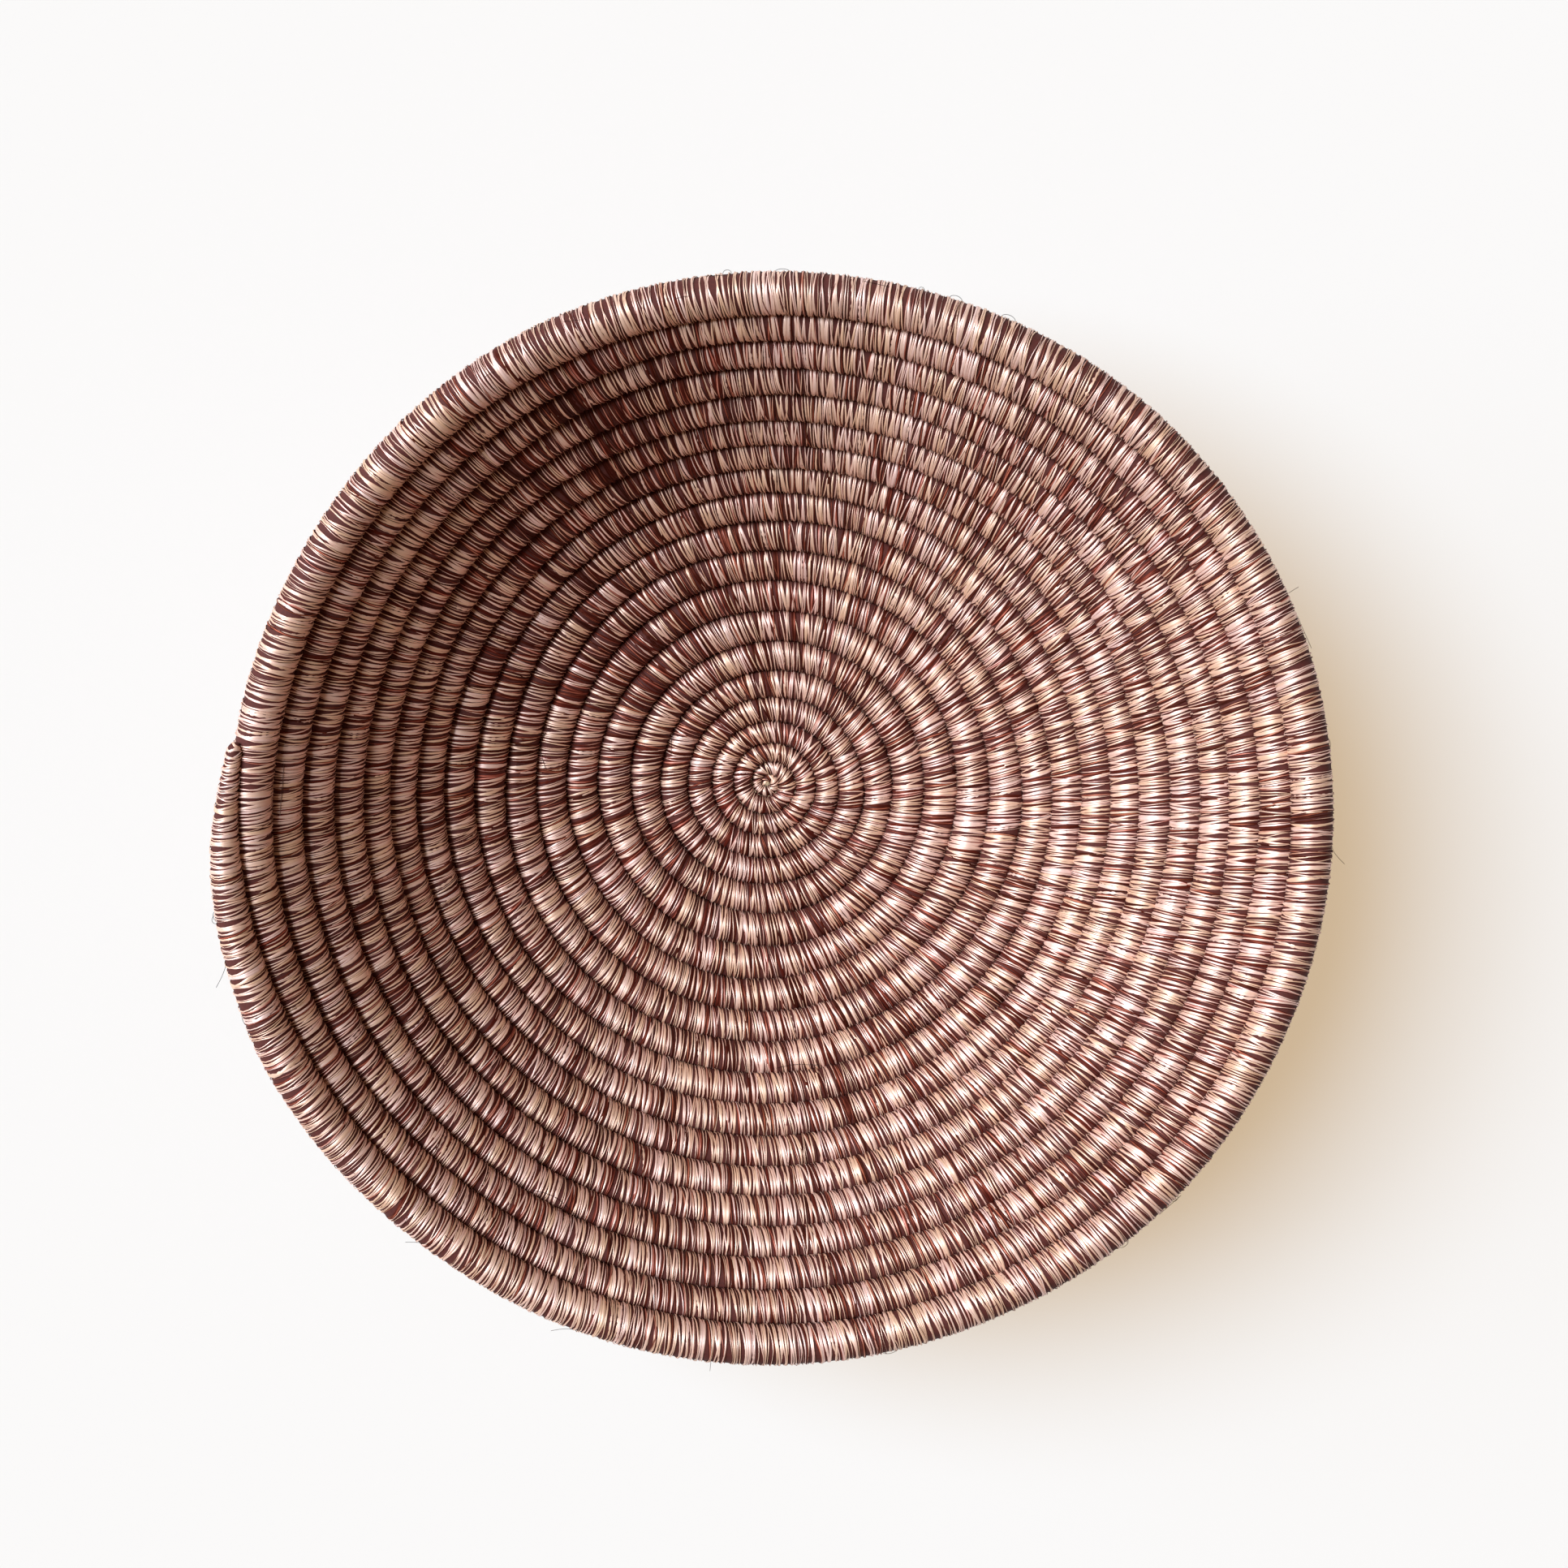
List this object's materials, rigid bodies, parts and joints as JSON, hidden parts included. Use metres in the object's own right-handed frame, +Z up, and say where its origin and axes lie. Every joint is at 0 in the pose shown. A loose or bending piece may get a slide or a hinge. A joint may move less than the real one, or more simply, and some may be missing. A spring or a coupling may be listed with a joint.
{
  "type": "coiled basket bowl",
  "caption": "Round coiled basket bowl: a grass bundle bound with two-tone dyed sisal, wound from a knot in the flat base up a flaring wall to a tapered tail on the rim.",
  "frame": {"origin": "on the surface that the bowl stands on, under the start knot in the middle of the base", "axes": "+Z up, out of the bowl's mouth; the coil's tail ends on the rim's -X side, 9 degrees towards +Y; seen from above, the coil winds outwards clockwise"},
  "size_m": [0.3028, 0.3003, 0.0947],
  "materials": {
    "sisal": "two-tone dyed sisal fibre, pale rose and maroon, silky",
    "grass": "dry grass stems, dull"
  },
  "bodies": {
    "root": {"start_knot": "sisal", "grass_core": "grass", "sisal_wrap_01": "sisal", "sisal_wrap_02": "sisal", "sisal_wrap_03": "sisal", "sisal_wrap_04": "sisal", "sisal_wrap_05": "sisal", "sisal_wrap_06": "sisal", "sisal_wrap_07": "sisal", "sisal_wrap_08": "sisal", "sisal_wrap_09": "sisal", "sisal_wrap_10": "sisal", "sisal_wrap_11": "sisal", "sisal_wrap_12": "sisal", "sisal_wrap_13": "sisal", "sisal_wrap_14": "sisal", "sisal_wrap_15": "sisal", "sisal_wrap_16": "sisal", "sisal_wrap_17": "sisal", "sisal_wrap_18": "sisal", "sisal_wrap_19": "sisal"}
  },
  "joints": []
}
